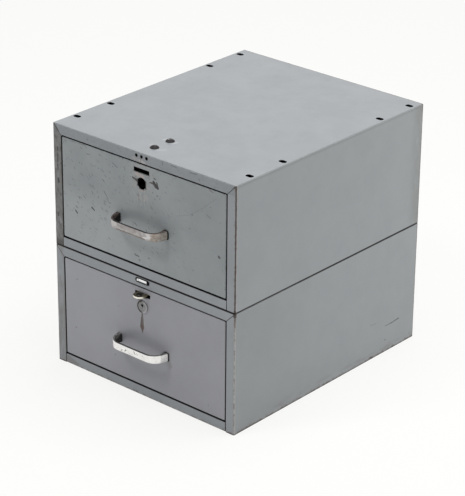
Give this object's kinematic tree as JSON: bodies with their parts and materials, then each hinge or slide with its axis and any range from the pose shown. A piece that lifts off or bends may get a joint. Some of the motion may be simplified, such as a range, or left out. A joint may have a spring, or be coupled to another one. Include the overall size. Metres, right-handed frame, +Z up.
{
  "type": "metal drawer unit",
  "caption": "Stacked steel bench drawer unit with folded cases, sliding drawers, bow pulls, bolt slots in the top, a cam lock and a padlock staple.",
  "frame": {"origin": "middle of the lower case's base, halfway between its front and back, on the surface it stands on", "axes": "+Z up, -Y out of the drawer fronts, +X to the right as seen from the front"},
  "size_m": [0.38, 0.4813, 0.42],
  "materials": {
    "case_paint": "semi-gloss grey enamel, worn to rusty steel at the edges",
    "drawer_paint": "semi-gloss grey enamel, scratched",
    "inner_steel": "plain rolled steel, rubbed bright where it slides",
    "cast_aluminium": "cast, polished by use",
    "dark_steel": "dark oxide, worn",
    "zinc_steel": "dull zinc plate",
    "old_brass": "tarnished, bright at the rubbed edges"
  },
  "bodies": {
    "case": {"upper_case_shell": "case_paint", "upper_base_pan": "case_paint", "upper_bottom_rail": "case_paint", "upper_back_panel": "case_paint", "upper_runner_left": "inner_steel", "upper_runner_right": "inner_steel", "upper_lock_hanger": "zinc_steel", "upper_hanger_bolt_front": "dark_steel", "upper_hanger_bolt_rear": "dark_steel", "upper_hanger_nut_front": "dark_steel", "upper_hanger_nut_rear": "dark_steel", "lower_case_shell": "case_paint", "lower_base_pan": "case_paint", "lower_bottom_rail": "case_paint", "lower_back_panel": "case_paint", "lower_runner_left": "inner_steel", "lower_runner_right": "inner_steel", "lower_lock_hanger": "zinc_steel", "lower_hanger_bolt_front": "dark_steel", "lower_hanger_bolt_rear": "dark_steel", "lower_hanger_nut_front": "dark_steel", "lower_hanger_nut_rear": "dark_steel", "lower_padlock_staple": "old_brass", "lower_staple_rivet_left": "zinc_steel", "lower_staple_rivet_right": "zinc_steel", "lower_nameplate": "cast_aluminium", "lower_nameplate_pin_left": "cast_aluminium", "lower_nameplate_pin_right": "cast_aluminium", "stack_bolt_front_left": "zinc_steel", "stack_nut_front_left": "zinc_steel", "stack_bolt_front_right": "zinc_steel", "stack_nut_front_right": "zinc_steel", "stack_bolt_rear_left": "zinc_steel", "stack_nut_rear_left": "zinc_steel", "stack_bolt_rear_right": "zinc_steel", "stack_nut_rear_right": "zinc_steel"},
    "upper_drawer": {"upper_drawer_front": "drawer_paint", "upper_drawer_tray": "drawer_paint", "upper_drawer_rail_left": "inner_steel", "upper_drawer_rail_right": "inner_steel", "upper_handle": "cast_aluminium", "upper_handle_screw_left": "zinc_steel", "upper_handle_screw_right": "zinc_steel"},
    "lower_drawer": {"lower_drawer_front": "drawer_paint", "lower_drawer_tray": "drawer_paint", "lower_drawer_rail_left": "inner_steel", "lower_drawer_rail_right": "inner_steel", "lower_handle": "cast_aluminium", "lower_handle_screw_left": "zinc_steel", "lower_handle_screw_right": "zinc_steel", "lower_lock_barrel": "zinc_steel", "lower_lock_nut": "zinc_steel"},
    "lower_lock": {"lower_lock_plug": "old_brass", "lower_lock_cam": "zinc_steel", "lower_cam_screw": "zinc_steel"}
  },
  "joints": [
    {"name": "upper_drawer_slide", "type": "slide", "parent": "case", "child": "upper_drawer", "axis": [0, -1, 0], "range_m": [0, 0.33]},
    {"name": "lower_drawer_slide", "type": "slide", "parent": "case", "child": "lower_drawer", "axis": [0, -1, 0], "range_m": [0, 0.33]},
    {"name": "lower_lock_turn", "type": "hinge", "parent": "lower_drawer", "child": "lower_lock", "pos_m": [0, -0.227, 0.1578], "axis": [0, -1, 0], "range_deg": [0, 90]}
  ]
}
